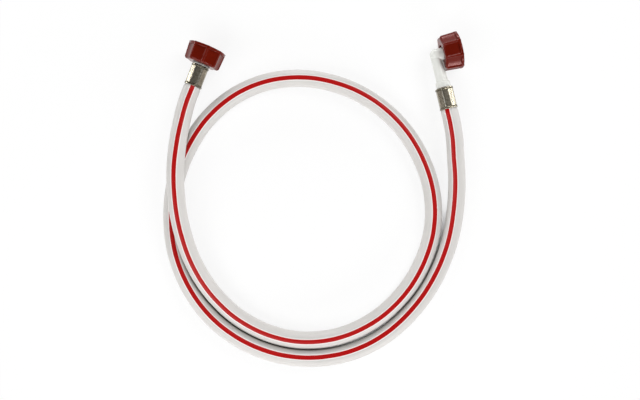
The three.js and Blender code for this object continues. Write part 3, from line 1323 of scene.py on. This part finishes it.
@dataclass
class ElbowEnd(HoseEnd):
    """The elbow end, whose tail is a moulded elbow."""

    side: str = "elbow"
    tail_kind: str = "fitting"
    ferrule_turn: float = 19.5
    nut_turn: float = 24.5
    collar: float = 0.0067
    collar_length: float = 0.0056
    leg_length: float = 0.0254
    leg: float = 0.0048
    leg_shift: float = 0.0007
    rib_thickness: float = 0.0028
    arm: float = 0.0058
    arm_bore: float = 0.00385
    nut_stand: float = 0.0055
    cut_over: float = 0.001
    voxel: float = 0.00028
    smoothing: int = 5

    @property
    def reach(self) -> float:
        """How far the corner is from the start of the ferrule."""
        return self.fit.collar_start + self.collar_length + self.leg_length

    @property
    def corner(self) -> Matrix:
        """The frame of the corner, whose Y runs along the arm, in the frame of the end."""
        return Matrix.Translation((0, self.reach, 0)) @ Matrix.Rotation(-math.pi / 2, 4, "Z")

    @property
    def nut_place(self) -> Matrix:
        """The frame at the middle of the nut's back."""
        return self.place @ self.corner @ Matrix.Translation((0, self.nut_stand, 0))

    @staticmethod
    def bar(
        target: bmesh.types.BMesh, frame: Matrix, radius: float, span: tuple[float, float],
        end_radius: float | None = None,
    ) -> None:
        """Adds a closed bar, or a cone to another radius, along the Y of a frame."""
        low, high = span
        lay = Matrix.Rotation(-math.pi / 2, 4, "X")
        turn = Matrix.Translation((0, (low + high) / 2, 0)) @ lay
        bmesh.ops.create_cone(
            target, cap_ends=True, segments=64, radius1=radius,
            radius2=radius if end_radius is None else end_radius, depth=high - low,
            matrix=frame @ turn,
        )

    def outer_shape(self) -> bmesh.types.BMesh:
        """Joins up the closed shapes that make the outside of the fitting."""
        fit, shape = self.fit, bmesh.new()
        own, over = Matrix(), self.cut_over
        barbs = fit.barbs()
        for (first, low), (second, high) in zip(barbs, barbs[1:]):
            self.bar(shape, own, first, (low, high), second)
        self.bar(shape, own, fit.barb_root, (barbs[0][1], fit.collar_start + over))
        collar_end = fit.collar_start + self.collar_length
        self.bar(shape, own, self.collar, (fit.collar_start, collar_end))
        shifted = Matrix.Translation((-self.leg_shift, 0, 0))
        self.bar(shape, shifted, self.leg, (collar_end - over, self.reach))
        rib_end = self.nut_stand - fit.fit_gap
        rib_top = self.reach - self.arm_bore
        rib = Matrix.Translation((rib_end / 2, (collar_end + rib_top) / 2, 0)) @ Matrix.Diagonal(
            (rib_end, rib_top - collar_end + over, self.rib_thickness, 1)
        )
        bmesh.ops.create_cube(shape, size=1.0, matrix=rib)
        bmesh.ops.create_uvsphere(
            shape, u_segments=64, v_segments=32, radius=self.arm, matrix=self.corner
        )
        flange, face = self.nut_stand + fit.flange_start, self.nut_stand + fit.flange_end
        self.bar(shape, self.corner, self.arm, (0, flange + over))
        self.bar(shape, self.corner, fit.flange_diameter / 2, (flange, face))
        return shape

    def cuts(self) -> list[Piece]:
        """Makes the bores of the leg and of the arm, which meet inside the corner."""
        tip = self.fit.tail_tip - self.cut_over
        face = self.nut_stand + self.fit.flange_end + self.cut_over
        made = []
        for name, frame, radius, span in (
            ("leg_bore", Matrix(), self.fit.water_bore / 2, (tip, self.reach)),
            ("arm_bore", self.corner, self.arm_bore, (-self.arm_bore / 2, face)),
        ):
            shape = bmesh.new()
            self.bar(shape, frame, radius, span)
            made.append(self.passing(shape, name))
        return made

    @staticmethod
    def passing(shape: bmesh.types.BMesh, name: str) -> Piece:
        """Links a shape as an object that is only there to be worked on."""
        mesh = bpy.data.meshes.new(name)
        shape.to_mesh(mesh)
        shape.free()
        made = bpy.data.objects.new(name, mesh)
        bpy.context.scene.collection.objects.link(made)
        return made

    def tail(self, name: str) -> Piece:
        """Makes the fitting: its shapes melt together as in a mould, and the bores are cut."""
        body = self.passing(self.outer_shape(), "elbow_body")
        cuts = self.cuts()
        remesh = body.modifiers.new("melt", "REMESH")
        remesh.mode, remesh.voxel_size = "VOXEL", self.voxel
        soften = body.modifiers.new("soften", "SMOOTH")
        soften.factor, soften.iterations = 0.5, self.smoothing
        for cut in cuts:
            bore = body.modifiers.new(cut.name, "BOOLEAN")
            bore.operation, bore.object, bore.solver = "DIFFERENCE", cut, "EXACT"
        bpy.context.view_layer.update()
        evaluated = body.evaluated_get(bpy.context.evaluated_depsgraph_get())
        mesh = bpy.data.meshes.new_from_object(evaluated)
        mesh.name = name
        for made in (body, *cuts):
            bpy.data.objects.remove(made)
        own = mesh.attributes.new(OWN_PLACE, "FLOAT_VECTOR", "POINT")
        own.data.foreach_set("vector", [number for vertex in mesh.vertices for number in vertex.co])
        mesh.attributes.new(EDGE_OR_GAP_SHADE, "FLOAT", "POINT")
        mesh.transform(self.place)
        return dressed_mesh(name, mesh, crease=45.0)


@dataclass(frozen=True)
class Lamp:
    """A soft rectangular lamp that faces the middle of the object.

    Attributes:
        name: Its name.
        azimuth: The side that it stands on, in degrees from +X.
        elevation: Its height above the horizon, in degrees.
        distance: How far it is from the middle.
        size: Its width and height.
        power: Its power in watts.
    """

    name: str
    azimuth: float
    elevation: float
    distance: float
    size: tuple[float, float]
    power: float

    def build(self) -> None:
        """Places the lamp, unseen by the camera."""
        data = bpy.data.lights.new(self.name, "AREA")
        data.shape = "RECTANGLE"
        data.size, data.size_y = self.size
        data.energy = self.power
        lamp = bpy.data.objects.new(self.name, data)
        side, height = math.radians(self.azimuth), math.radians(self.elevation)
        level = Vector((math.cos(side), math.sin(side), 0.0))
        way = level * math.cos(height) + UP * math.sin(height)
        lamp.location = way * self.distance
        lamp.rotation_mode = "QUATERNION"
        lamp.rotation_quaternion = way.to_track_quat("Z", "Y")
        lamp.visible_camera = False
        bpy.context.scene.collection.objects.link(lamp)


@dataclass
class Studio:
    """The camera straight above, the white bowl that everything lies in, and its light."""

    camera_place: tuple[float, float, float] = (0.0057, 0.0005, 0.680)
    lens: float = 40.32
    sensor: float = 36.0
    floor_radius: float = 5.6
    wall_radius: float = 6.0
    wall_height: float = 0.45
    floor_rings: tuple[float, ...] = (0.3, 0.9)
    curve_steps: int = 8
    sides: int = 96
    clip: tuple[float, float] = (0.01, 20.0)
    paper_white: float = 0.96
    far_white: float = 0.22
    far_reach: tuple[float, float] = (0.45, 0.9)
    shadow_share: float = 0.16
    shadow_reach: tuple[float, float] = (0.2, 0.36)
    crevice: float = 0.009
    open_reach: tuple[float, float] = (0.18, 0.48)
    sky: float = 0.12
    lamps: tuple[Lamp, ...] = (
        Lamp("left_lamp", 203.0, 43.0, 1.25, (0.55, 0.55), 4.3),
        Lamp("lower_lamp", 250.0, 46.0, 1.25, (0.6, 0.6), 5.4),
        Lamp("upper_lamp", 41.0, 46.0, 1.25, (0.6, 0.6), 6.8),
        Lamp("left_strip", 151.0, 6.0, 1.3, (0.5, 0.16), 2.8),
        Lamp("right_strip", 18.0, 5.0, 1.3, (0.5, 0.16), 4.0),
        Lamp("upper_strip", 93.0, 12.0, 1.25, (0.6, 0.24), 6.2),
        Lamp("lower_strip", 297.0, 17.0, 1.25, (0.6, 0.24), 6.0),
        Lamp("corner_strip", 234.0, 10.0, 1.3, (1.4, 0.18), 3.6),
    )

    def build(self) -> None:
        """Sets up the camera, the lamps, the sky and the bowl."""
        scene = bpy.context.scene
        data = bpy.data.cameras.new("camera")
        data.lens, data.sensor_width = self.lens, self.sensor
        data.clip_start, data.clip_end = self.clip
        camera = bpy.data.objects.new("camera", data)
        camera.location = self.camera_place
        scene.collection.objects.link(camera)
        scene.camera = camera
        scene.view_settings.view_transform = "Standard"
        world = bpy.data.worlds.new("sky")
        world.use_nodes = True
        sky = world.node_tree.nodes["Background"]
        sky.inputs["Color"].default_value = (1.0, 1.0, 1.0, 1.0)
        sky.inputs["Strength"].default_value = self.sky
        scene.world = world
        for lamp in self.lamps:
            lamp.build()
        bowl = self.bowl()
        bowl.data.materials.append(self.paper())

    def bowl(self) -> Piece:
        """Makes the floor with a wall that rises in a soft curve around it."""
        sections = [(radius, 0.0) for radius in (*self.floor_rings, self.floor_radius)]
        rise = self.wall_radius - self.floor_radius
        for step in range(1, self.curve_steps + 1):
            angle = math.pi / 2 * step / self.curve_steps
            radius = self.floor_radius + rise * math.sin(angle)
            sections.append((radius, rise * (1 - math.cos(angle))))
        sections.append((self.wall_radius, self.wall_height))
        shape = bmesh.new()
        middle = shape.verts.new((0, 0, 0))
        ways = [2 * math.pi * side / self.sides for side in range(self.sides)]
        rings = [
            [shape.verts.new((far * math.cos(way), far * math.sin(way), high)) for way in ways]
            for far, high in sections
        ]
        for side in range(self.sides):
            after = (side + 1) % self.sides
            shape.faces.new((middle, rings[0][side], rings[0][after]))
            for low, high in zip(rings, rings[1:]):
                shape.faces.new((low[side], high[side], high[after], low[after]))
        mesh = bpy.data.meshes.new("paper_bowl")
        shape.to_mesh(mesh)
        shape.free()
        return dressed_mesh("paper_bowl", mesh, crease=60.0)

    def paper(self) -> bpy.types.Material:
        """Makes the white of the bowl, which is seen as white and keeps a faint shadow."""
        made = bpy.data.materials.new("paper")
        made.use_nodes = True
        made.node_tree.nodes.clear()
        wiring = Wiring(made.node_tree)
        ray = wiring.node("ShaderNodeLightPath").outputs
        mirrored = wiring.math("MAXIMUM", ray["Is Glossy Ray"], ray["Is Transmission Ray"])
        seen = wiring.math("MAXIMUM", ray["Is Camera Ray"], mirrored)
        place = wiring.node("ShaderNodeTexCoord")
        away = wiring.node("ShaderNodeVectorMath", operation="LENGTH")
        wiring.feed(away.inputs[0], place.outputs["Object"])
        distant = wiring.mask(away.outputs["Value"], *self.far_reach)
        shades = [(white, white, white, 1.0) for white in (self.paper_white, self.far_white)]
        matt = wiring.result("ShaderNodeBsdfDiffuse", {"Color": wiring.blend(distant, *shades)})
        far = wiring.mask(away.outputs["Value"], *self.shadow_reach)
        glowing = wiring.math("MULTIPLY_ADD", far, self.shadow_share, 1.0 - self.shadow_share)
        hidden = wiring.node("ShaderNodeAmbientOcclusion")
        hidden.inputs["Distance"].default_value = self.crevice
        open_floor = wiring.mask(hidden.outputs["AO"], *self.open_reach)
        share = wiring.math("MULTIPLY", wiring.math("MULTIPLY", seen, glowing), open_floor)
        glow = wiring.result("ShaderNodeEmission", {"Strength": 1.0})
        surface = wiring.result("ShaderNodeMixShader", {0: share, 1: matt, 2: glow})
        output = wiring.node("ShaderNodeOutputMaterial")
        wiring.feed(output.inputs["Surface"], surface)
        return made


def nut_axes(frame: dict) -> dict[str, tuple[Vector, Vector]]:
    """Gives the middle and the axis of each nut's joint, by the name of the nut."""
    return {
        joint["child"]: (Vector(joint["pos_m"]), Vector(joint["axis"])) for joint in frame["joints"]
    }


def frame_at(origin: Vector, along: Vector) -> Matrix:
    """Gives a frame with its Y along a level direction and its Z up."""
    across = along.cross(UP)
    turn = Matrix((across, along, UP)).transposed().to_4x4()
    return Matrix.Translation(origin) @ turn


def main() -> None:
    """Builds the whole object around the frame, in order."""
    logging.basicConfig(level=logging.INFO, format="%(message)s")
    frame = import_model()
    Studio().build()
    effects = Effects()
    axes = nut_axes(frame)
    half_nut = Nut.length / 2

    middle, along = axes["straight_nut"]
    straight = StraightEnd(Matrix())
    straight.place = frame_at(middle - along * (straight.nut_back + half_nut), along)
    middle, out = axes["elbow_nut"]
    elbow = ElbowEnd(Matrix())
    up_leg = UP.cross(out)
    elbow.place = frame_at(
        middle - out * (elbow.nut_stand + half_nut) - up_leg * elbow.reach, up_leg
    )
    tube, line = Hose(straight.place, elbow.place).build()
    HosePvc().dress(tube, effects)
    pieces = [(tube, "hose", "hose"), *straight.build(effects), *elbow.build(effects)]
    for piece, body, node in pieces:
        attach(piece, body)
        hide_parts(node)
        LOG.info("%s rides on %s, %d faces", piece.name, body, len(piece.data.polygons))


if __name__ == "__main__":
    main()
